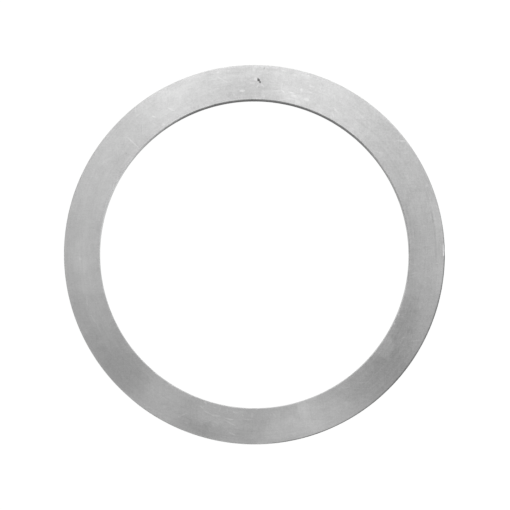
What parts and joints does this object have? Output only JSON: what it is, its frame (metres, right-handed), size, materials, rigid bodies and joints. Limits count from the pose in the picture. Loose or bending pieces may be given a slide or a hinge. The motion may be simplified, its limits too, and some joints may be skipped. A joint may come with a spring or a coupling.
{
  "type": "spacer ring",
  "caption": "Flat round spacer ring of ground steel with a wide through bore and lightly broken rims, set over a shaft or into a housing to hold parts at a fixed distance.",
  "frame": {"origin": "on the ring's axis, at its bottom face", "axes": "+Z along the ring's axis, out of the face with the small pit; +Y towards the pit, so +X is to the right when the pit is at the top"},
  "size_m": [0.16, 0.16, 0.005],
  "materials": {
    "ground_steel": "ground faces with fine circular grain, darker turned walls, handling scratches and faint smudges"
  },
  "bodies": {
    "root": {"spacer_ring": "ground_steel"}
  },
  "joints": []
}
